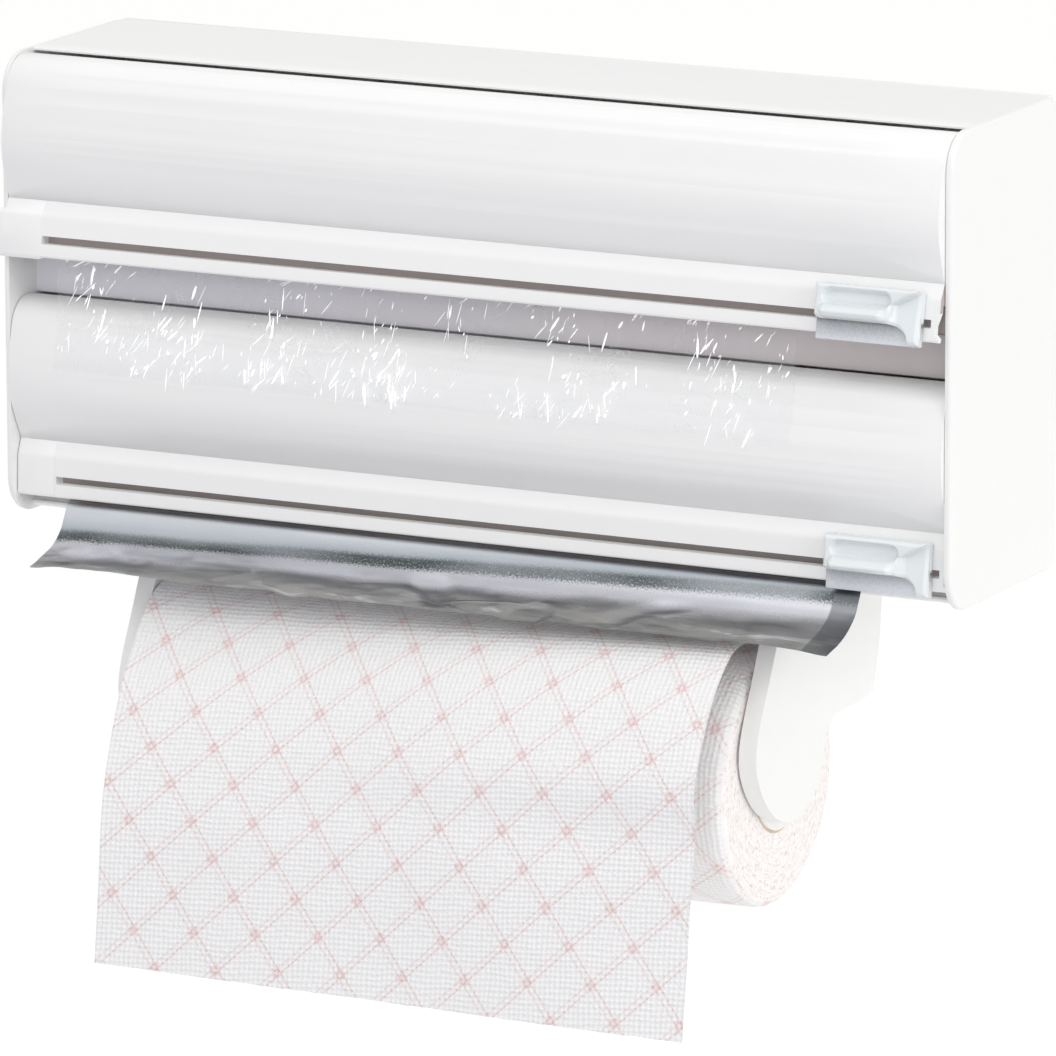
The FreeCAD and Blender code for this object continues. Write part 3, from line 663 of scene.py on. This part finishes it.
def stadium(across, down, left, right, top, bottom):
    # signed distance inside a round-ended slot: positive inside
    radius = (bottom - top) / 2
    middle = (top + bottom) / 2
    nearest = min(max(across, left + radius), right - radius)
    return radius - math.hypot(across - nearest, down - middle)


def arcRise(share):
    # how far a quarter circle has risen, for a share of its width
    return 1 - math.sqrt(max(1 - share * share, 0.0))


def gripEdge(across):
    # the lower edge: rounded at the left, and sweeping down into the tail at the right
    g = grip
    if across < g["corner"]:
        return g["deep"] - g["cornerRise"] * arcRise(1 - across / g["corner"])
    return g["deep"] + g["tailDrop"] * arcRise(min(max((across - g["tailFrom"]) / g["tailLong"], 0.0), 1.0))


def gripHeight(across, down):
    g = grip
    height = g["wing"] + g["wingGain"] * eased(down, *g["wingSpan"])
    limit = max(g["bossShort"], g["long"] - down * g["bossLean"])
    height += g["boss"] * (1 - eased(across - limit, *g["bossEdge"]))
    lip = (1 - eased(abs(across - limit), 0.0, g["lipWide"])) * (1 - eased(down, *g["lipFade"]))
    height += g["lip"] * lip
    height -= g["dishDeep"] * eased(stadium(across, down, *g["dish"]), *g["dishEdge"])
    ridge = stadium(across, down, *g["ridge"])
    height += g["ridgeTall"] * math.sqrt(max(min((ridge + 0.1) / g["ridgeSoft"], 1.0), 0.0))
    rim = min(across, g["long"] - across, down + 0.3, gripEdge(across) - down + 0.25)
    swell = math.sqrt(min(max(rim / g["rimWide"], 0.0), 1.0))
    return height * (g["rimLow"] + (1 - g["rimLow"]) * swell)


def gripSpot(across, down, height, lower):
    slope = math.atan(railFace["slope"])
    out = grip["skin"] - grip["sink"] + height
    forward = faceForward(grip["top"]) + grip["sink"] + down * math.sin(slope) + out * math.cos(slope)
    high = grip["top"] - down * math.cos(slope) + out * math.sin(slope)
    if lower:
        turn = math.radians(lowerCover["turn"])
        ahead = forward - upperHinge["forward"]
        rise = high - upperHinge["height"]
        forward = (upperHinge["forward"] + lowerCover["forward"]
                   + ahead * math.cos(turn) + rise * math.sin(turn))
        high = upperHinge["height"] - lowerCover["drop"] + rise * math.cos(turn) - ahead * math.sin(turn)
    return place(forward, high, grip["left"] + across)


def makeGrip(name, lower, body, node):
    columns = grip["columns"]
    rows = grip["rows"]
    inset = grip["inset"]
    mesh = bpy.data.meshes.new(name)
    shape = bmesh.new()
    front = []
    back = []
    for row in range(rows + 1):
        for column in range(columns + 1):
            across = inset + (grip["long"] - 2 * inset) * column / columns
            down = inset + (gripEdge(across) - inset) * row / rows
            front.append(shape.verts.new(gripSpot(across, down, gripHeight(across, down), lower)))
            back.append(shape.verts.new(gripSpot(across, down, grip["back"], lower)))
    wide = columns + 1
    for row in range(rows):
        for column in range(columns):
            corner = row * wide + column
            around = [corner, corner + wide, corner + wide + 1, corner + 1]
            shape.faces.new([front[index] for index in around])
            shape.faces.new([back[index] for index in reversed(around)])
    ring = list(range(wide)) + [row * wide + columns for row in range(1, rows + 1)]
    ring += [rows * wide + column for column in range(columns - 1, -1, -1)]
    ring += [row * wide for row in range(rows - 1, 0, -1)]
    for first, second in zip(ring, ring[1:] + ring[:1]):
        shape.faces.new([front[first], front[second], back[second], back[first]])
    bmesh.ops.recalc_face_normals(shape, faces=shape.faces)
    shape.to_mesh(mesh)
    shape.free()
    smoothBy(mesh, grip["smooth"])
    settle(newPiece(name, mesh, sliderPlastic), body, "slider_plastic", node)


makeGrip("upper_grip_moulded", False, "upper_cutter", "upper_slider_grip")
makeGrip("lower_grip_moulded", True, "lower_cutter", "lower_slider_grip")
print("cutter grips ready")


# The roll's profile runs from its bore out over one end, along the paper and back down the other end.
paperRoll = {"left": -129.0, "right": 116.0, "forward": 72.0, "height": -71.0, "radius": 47.8, "bore": 20.0,
             "round": 5.6, "around": 160, "endRings": 10, "cornerRings": 8, "bodyRings": 24, "smooth": 45,
             "endWave": 0.15, "endTurn": 1.7, "wrap": 0.35, "dip": 0.35, "dipScale": 0.03, "skin": 0.5}


def paperRollProfile():
    r = paperRoll
    endLong = r["radius"] - r["round"] - r["bore"]
    outline = [(r["left"], r["bore"])]
    for step in range(1, r["endRings"] + 1):
        wavy = r["endWave"] * math.sin(step * r["endTurn"])
        outline.append((r["left"] + wavy, r["bore"] + endLong * step / r["endRings"]))
    for step in range(1, r["cornerRings"] + 1):
        turn = math.pi / 2 * step / r["cornerRings"]
        outline.append((r["left"] + r["round"] * (1 - math.cos(turn)),
                        r["radius"] - r["round"] * (1 - math.sin(turn))))
    bodyLong = r["right"] - r["left"] - 2 * r["round"]
    body = [(r["left"] + r["round"] + bodyLong * step / r["bodyRings"], r["radius"])
            for step in range(1, r["bodyRings"])]
    mirrored = [(r["left"] + r["right"] - across, radius) for across, radius in reversed(outline)]
    return outline + body + mirrored


def makePaperRoll():
    r = paperRoll
    around = r["around"]
    profile = paperRollProfile()
    many = len(profile)
    mesh = bpy.data.meshes.new("paper_roll_wound")
    spots = []
    for ring in range(around):
        turn = 2 * math.pi * ring / around
        for across, radius in profile:
            if radius > r["radius"] - r["skin"]:
                spot = Vector((across * r["dipScale"], math.cos(turn) * 2, math.sin(turn) * 2))
                radius += noise.noise(spot) * r["dip"] - r["wrap"]
            spots.append(place(r["forward"] + radius * math.cos(turn),
                               r["height"] + radius * math.sin(turn), across))
    faces = []
    for ring in range(around):
        here = ring * many
        ahead = (ring + 1) % around * many
        for step in range(many):
            after = (step + 1) % many
            faces.append((here + step, here + after, ahead + after, ahead + step))
    mesh.from_pydata(spots, [], faces)
    layer = mesh.uv_layers.new(name="wound")
    ends = r["endRings"]
    for polygon in mesh.polygons:
        lastRing, onProfile = divmod(polygon.index, many)
        isEnd = onProfile < ends or onProfile >= many - ends - 2
        for loop in polygon.loop_indices:
            ring, step = divmod(mesh.loops[loop].vertex_index, many)
            if lastRing == around - 1 and ring == 0:
                ring = around
            across, radius = profile[step]
            if isEnd:
                layer.data[loop].uv = (radius * mm, ring / around)
            else:
                layer.data[loop].uv = (across * mm, -ring / around * 2 * math.pi * r["radius"] * mm)
    shape = bmesh.new()
    shape.from_mesh(mesh)
    bmesh.ops.recalc_face_normals(shape, faces=shape.faces)
    shape.to_mesh(mesh)
    shape.free()
    smoothBy(mesh, r["smooth"])
    piece = newPiece("paper_roll_wound", mesh, paper, paperEnd)
    for polygon in mesh.polygons:
        step = polygon.index % many
        polygon.material_index = 1 if step < ends + 2 or step >= many - ends - 4 else 0
    settle(piece, "paper_roll", "kitchen_paper", "paper_winding")


makePaperRoll()

# each path runs down the sheet as (forward, height): one at its left edge, one at its right
paperSheet = {
    "left": -129.0, "right": 116.0, "columns": 150, "rows": 110, "easing": 0.6,
    "leftPath": [(60, -21.8), (78, -18.6), (90, -20.4), (100, -26.6), (111, -40.5), (122, -58.5),
                 (133.5, -90), (138, -119), (142, -152.0)],
    "rightPath": [(60, -21.8), (78, -18.0), (97, -15.4), (111, -17.5), (126, -31), (137, -50), (141.5, -62),
                  (141.5, -80), (145, -100), (150.5, -150.5)],
    "sway": 2.2, "swayScale": (0.012, 2.4, 3.1), "swayFrom": 0.15, "swayFull": 0.6,
    "tornFrom": 0.995, "torn": 0.45, "teeth": 5.3,
}


def acrossSheet(sheet, side):
    return sheet["left"] + (sheet["right"] - sheet["left"]) * side


def evenMark(sheet, long):
    # the flat place of each spot, for a sheet that is equally long all the way across
    return lambda side, down: (acrossSheet(sheet, side) * mm, down * long * mm)


def noiseAt(scales, across, down):
    # scales gives the steps across and down, and where the noise starts
    return noise.noise(Vector((across * scales[0], down * scales[1], scales[2])))


def makePaperTail():
    s = paperSheet
    leftRun, leftLong = smoothPath(s["leftPath"], s["rows"])
    rightRun, rightLong = smoothPath(s["rightPath"], s["rows"])

    def spotAt(side, down):
        row = round(down * s["rows"])
        share = eased(side, 0.0, 1.0) * s["easing"] + side * (1 - s["easing"])
        forward, height = leftRun[row].lerp(rightRun[row], share)
        across = acrossSheet(s, side)
        sway = noiseAt(s["swayScale"], across, down) * s["sway"] * eased(down, s["swayFrom"], s["swayFull"])
        if down > s["tornFrom"]:
            height += s["torn"] * math.sin(across * s["teeth"]) * noiseAt((0.4, 0.0, 9.0), across, down)
        return place(forward + sway, height, across)

    def markAt(side, down):
        return (acrossSheet(s, side) * mm, down * (leftLong + (rightLong - leftLong) * side) * mm)

    mesh = sheetMesh("paper_hanging", s["columns"], s["rows"], spotAt, markAt)
    piece = newPiece("paper_hanging", mesh, paper)
    settle(piece, "housing", "kitchen_paper", "paper_tail")
    long = (leftLong + rightLong) / 2 * mm


makePaperTail()
print("kitchen paper ready")


foilSheet = {"left": -170.0, "right": 155.0, "columns": 260, "rows": 80,
             "path": [(64, 6.5), (72, 7.9), (79, 7.6), (84.6, 5.6), (87.6, 1.2), (90.6, -3.2), (97.5, -7.4),
                      (106, -9.6), (114.3, -11.6)],
             "looseFrom": 0.45, "looseFull": 0.8, "ripple": 0.75, "rippleScale": (0.035, 5.0, 1.7),
             "crumple": 0.16, "crumpleScale": (0.16, 16.0, 5.2),
             "dent": 1.5, "dentScale": (0.045, 3.0, 11.3), "dentFrom": 0.28, "dentFull": 0.62,
             "curl": 1.2, "curlFrom": 0.46,
             "ragged": 0.6, "raggedScale": (0.09, 0.0, 7.7), "raggedFrom": 0.9}


def makeFoilTail():
    s = foilSheet
    run, long = smoothPath(s["path"], s["rows"])

    def spotAt(side, down):
        forward, height = run[round(down * s["rows"])]
        across = acrossSheet(s, side)
        loose = eased(down, s["looseFrom"], s["looseFull"])
        ripple = noiseAt(s["rippleScale"], across, down) * s["ripple"]
        small = noiseAt(s["crumpleScale"], across, down) * s["crumple"]
        dent = eased(noiseAt(s["dentScale"], across, down), s["dentFrom"], s["dentFull"]) * s["dent"]
        curl = eased(abs(side - 0.5), s["curlFrom"], 0.5) * loose * s["curl"]
        ragged = noiseAt(s["raggedScale"], across, down) * s["ragged"] * eased(down, s["raggedFrom"], 1.0)
        return place(forward + ragged, height + (ripple + small - dent) * loose - curl, across)

    mesh = sheetMesh("foil_hanging", s["columns"], s["rows"], spotAt, evenMark(s, long))
    piece = newPiece("foil_hanging", mesh, foil)
    settle(piece, "housing", "foil_sheet", "foil_tail")
    long * mm


makeFoilTail()
print("foil ready")


filmSheet = {"left": -170.0, "right": 131.0, "columns": 300, "rows": 90,
             "path": [(66, 99.0), (76, 99.1), (84, 98.5), (88.6, 96.0), (90.0, 90.0), (90.0, 82.0),
                      (91.0, 76.0), (92.8, 69.0), (94.4, 57.5)],
             "ragged": 0.012, "looseFrom": 0.35, "looseFull": 0.6,
             "fold": 0.9, "foldScale": (0.09, 4.0, 0.4),
             "crisp": 1.1, "crispScale": (0.22, 9.0, 8.0), "crispBend": 1.5}
# what the node tree below takes in: lengths in metres, density over a square metre, leans in radians
filmCreases = {"Density": 84000.0, "Seed": 4, "Cluster": 34.0, "Lean Low": -0.8, "Lean High": 0.2,
               "Thin": 0.00010, "Wide": 0.0006, "Short": 0.0007, "Long": 0.0054}
foldShape = {"clusterFrom": 0.46, "clusterFull": 0.62, "between": 0.05, "longRarity": 2.2,
             "wideRarity": 4.0, "segments": 6, "rings": 4}


def creaseTree(finish):
    # short tapered folds standing on the sheet, scattered in clusters and leaning one way
    tree = bpy.data.node_groups.new("filmCreases", "GeometryNodeTree")
    tree.interface.new_socket("Sheet", in_out="INPUT", socket_type="NodeSocketGeometry")
    for name, value in filmCreases.items():
        kind = "NodeSocketInt" if name == "Seed" else "NodeSocketFloat"
        tree.interface.new_socket(name, in_out="INPUT", socket_type=kind)
    tree.interface.new_socket("Folds", in_out="OUTPUT", socket_type="NodeSocketGeometry")
    given = tree.nodes.new("NodeGroupInput").outputs
    leave = tree.nodes.new("NodeGroupOutput")

    def node(kind, inputs, **settings):
        made = tree.nodes.new(kind)
        for key, value in settings.items():
            setattr(made, key, value)
        for key, value in inputs.items():
            if isinstance(value, bpy.types.NodeSocket):
                tree.links.new(value, made.inputs[key])
            else:
                made.inputs[key].default_value = value
        return made.outputs

    def scattered(low, high, seed):
        # the float range sits third and fourth among this node's inputs
        return node("FunctionNodeRandomValue", {2: low, 3: high, "Seed": seed}, data_type="FLOAT")[1]

    cloud = node("ShaderNodeTexNoise", {"Scale": given["Cluster"], "Detail": 1.0})[0]
    gather = node("ShaderNodeMapRange", {0: cloud, 1: foldShape["clusterFrom"], 2: foldShape["clusterFull"],
                                         3: foldShape["between"], 4: 1.0})[0]
    many = node("ShaderNodeMath", {0: gather, 1: given["Density"]}, operation="MULTIPLY")[0]
    dots = node("GeometryNodeDistributePointsOnFaces", {"Mesh": given["Sheet"], "Density": many,
                                                         "Seed": given["Seed"]})
    upright = node("FunctionNodeAlignRotationToVector", {"Vector": dots["Normal"]}, axis="Z")[0]
    lean = node("ShaderNodeCombineXYZ", {2: scattered(given["Lean Low"], given["Lean High"], 2)})[0]
    aim = node("FunctionNodeRotateRotation", {0: upright, 1: lean}, rotation_space="LOCAL")[0]
    odds = scattered(0.0, 1.0, 3)
    rare = node("ShaderNodeMath", {0: odds, 1: foldShape["longRarity"]}, operation="POWER")[0]
    half = node("ShaderNodeMapRange", {0: rare, 1: 0.0, 2: 1.0, 3: given["Short"], 4: given["Long"]})[0]
    chance = scattered(0.0, 1.0, 4)
    seldom = node("ShaderNodeMath", {0: chance, 1: foldShape["wideRarity"]}, operation="POWER")[0]
    breadth = node("ShaderNodeMapRange", {0: seldom, 1: 0.0, 2: 1.0, 3: given["Thin"], 4: given["Wide"]})[0]
    size = node("ShaderNodeCombineXYZ", {0: breadth, 1: half, 2: given["Thin"]})[0]
    fold = node("GeometryNodeMeshUVSphere", {"Segments": foldShape["segments"], "Rings": foldShape["rings"],
                                             "Radius": 1.0})[0]
    folds = node("GeometryNodeInstanceOnPoints", {"Points": dots["Points"], "Instance": fold,
                                                   "Rotation": aim, "Scale": size})[0]
    solid = node("GeometryNodeRealizeInstances", {"Geometry": folds})[0]
    coated = node("GeometryNodeSetMaterial", {"Geometry": solid, "Material": finish})[0]
    tree.links.new(coated, leave.inputs[0])
    return tree


def makeFilmTail():
    s = filmSheet
    run, long = smoothPath(s["path"], s["rows"])

    def spotAt(side, down):
        across = acrossSheet(s, side)
        ragged = 1.0 - s["ragged"] * (0.5 + noise.noise(Vector((across * 0.05, 2.0, 0.0))))
        reach = down * ragged * s["rows"]
        row = min(int(reach), s["rows"] - 1)
        forward, height = run[row].lerp(run[row + 1], reach - row)
        loose = eased(down, s["looseFrom"], s["looseFull"])
        fold = noiseAt(s["foldScale"], across, down)
        scale, step, start = s["crispScale"]
        crisp = abs(noise.noise(Vector((across * scale + fold * s["crispBend"], down * step, start))))
        return place(forward + (fold * s["fold"] + crisp * s["crisp"]) * loose, height, across)

    mesh = sheetMesh("film_draped", s["columns"], s["rows"], spotAt, evenMark(s, long))
    sheet = newPiece("film_draped", mesh, film)
    folds = newPiece("film_folds", mesh.copy(), filmFold)
    grower = folds.modifiers.new("Folds", "NODES")
    grower.node_group = creaseTree(filmFold)
    for socket in grower.node_group.interface.items_tree:
        if socket.name in filmCreases:
            grower[socket.identifier] = filmCreases[socket.name]
    grown = builtMesh(folds)
    grown.shade_smooth()
    for piece in (sheet, folds):
        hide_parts("film_tail")
        place(88, 96)
        place(92, 76)
        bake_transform(piece)
    long * mm
    print("folds on the film:", len(grown.polygons))


makeFilmTail()
print("cling film ready")


# floor and light
studio = {"glow": 0.2, "sky": 0.9, "low": 0.44,
          "skyTint": (0.98, 0.98, 0.985), "lowTint": (0.94, 0.94, 1.04),
          "skyFrom": -0.6, "skyTo": 0.5, "target": (0, -0.05, -0.05)}
floor = {"left": -6, "right": 6, "front": -0.4, "back": 9, "height": -0.62, "colour": (0.9, 0.9, 0.885),
         "roughness": 0.9}
lights = {
    "keyLight": {"spot": (-0.2, -2.2, 2.3), "wide": 1.2, "energy": 10.0, "colour": (1.0, 1.0, 0.975)},
    "sideLight": {"spot": (2.6, -0.9, 0.9), "wide": 1.6, "energy": 16.5, "colour": (1.0, 1.0, 0.975)},
    "frontLight": {"spot": (1.1, -2.7, 0.5), "wide": 2.0, "energy": 10.5, "colour": (0.98, 0.98, 1.0)},
}


def addFloor():
    f = floor
    mesh = bpy.data.meshes.new("floor")
    corners = [(f["left"], f["front"]), (f["right"], f["front"]),
               (f["right"], f["back"]), (f["left"], f["back"])]
    mesh.from_pydata([(*corner, f["height"]) for corner in corners], [], [(0, 1, 2, 3)])
    finish = Finish("floorPaint", Roughness=f["roughness"], Emission_Color=(1, 1, 1, 1),
                    Emission_Strength=studio["glow"])
    finish.set(Base_Color=f["colour"])
    newPiece("floor", mesh, finish.material)


def addLight(name, spot, wide, energy, colour):
    data = bpy.data.lights.new(name, "AREA")
    data.shape = "SQUARE"
    data.size = wide
    data.energy = energy
    data.color = colour
    light = bpy.data.objects.new(name, data)
    light.location = spot
    aim = Vector(studio["target"]) - Vector(spot)
    light.rotation_euler = aim.to_track_quat("-Z", "Y").to_euler()
    bpy.context.scene.collection.objects.link(light)


def addSky():
    world = bpy.data.worlds.new("studioSky")
    bpy.context.scene.world = world
    world.use_nodes = True
    tree = world.node_tree
    tree.nodes.clear()
    where = tree.nodes.new("ShaderNodeTexCoord")
    split = tree.nodes.new("ShaderNodeSeparateXYZ")
    grade = tree.nodes.new("ShaderNodeMapRange")
    tone = tree.nodes.new("ShaderNodeValToRGB")
    sky = tree.nodes.new("ShaderNodeBackground")
    out = tree.nodes.new("ShaderNodeOutputWorld")
    tree.links.new(where.outputs["Generated"], split.inputs[0])
    tree.links.new(split.outputs["Z"], grade.inputs[0])
    grade.inputs[1].default_value = studio["skyFrom"]
    grade.inputs[2].default_value = studio["skyTo"]
    tree.links.new(grade.outputs[0], tone.inputs[0])
    for stop, strength, tint in zip(tone.color_ramp.elements, (studio["low"], studio["sky"]),
                                    (studio["lowTint"], studio["skyTint"])):
        stop.color = (*(strength * part for part in tint), 1.0)
    tree.links.new(tone.outputs[0], sky.inputs["Color"])
    tree.links.new(sky.outputs[0], out.inputs["Surface"])


view = {"azimuth": 27.0, "elevation": 12.47, "roll": -0.2, "lens": 352.0, "sensor": 36.0,
        "distance": 3.7797, "reach": 50.0, "target": (0.0037, -0.05, -0.08055)}


def addCamera():
    data = bpy.data.cameras.new("camera")
    data.sensor_width = view["sensor"]
    data.lens = view["lens"]
    data.clip_end = view["reach"]
    camera = bpy.data.objects.new("camera", data)
    turn = math.radians(view["azimuth"])
    tilt = math.radians(view["elevation"])
    back = Vector((math.sin(turn) * math.cos(tilt), -math.cos(turn) * math.cos(tilt), math.sin(tilt)))
    spot = Vector(view["target"]) + back * view["distance"]
    roll = Matrix.Rotation(math.radians(view["roll"]), 3, "Z")
    aim = (-back).to_track_quat("-Z", "Y").to_matrix() @ roll
    camera.matrix_world = Matrix.Translation(spot) @ aim.to_4x4()
    bpy.context.scene.collection.objects.link(camera)
    bpy.context.scene.camera = camera


addFloor()
addSky()
for name, light in lights.items():
    addLight(name, **light)
addCamera()
bpy.context.scene.view_settings.view_transform = "Standard"
print("stage ready")

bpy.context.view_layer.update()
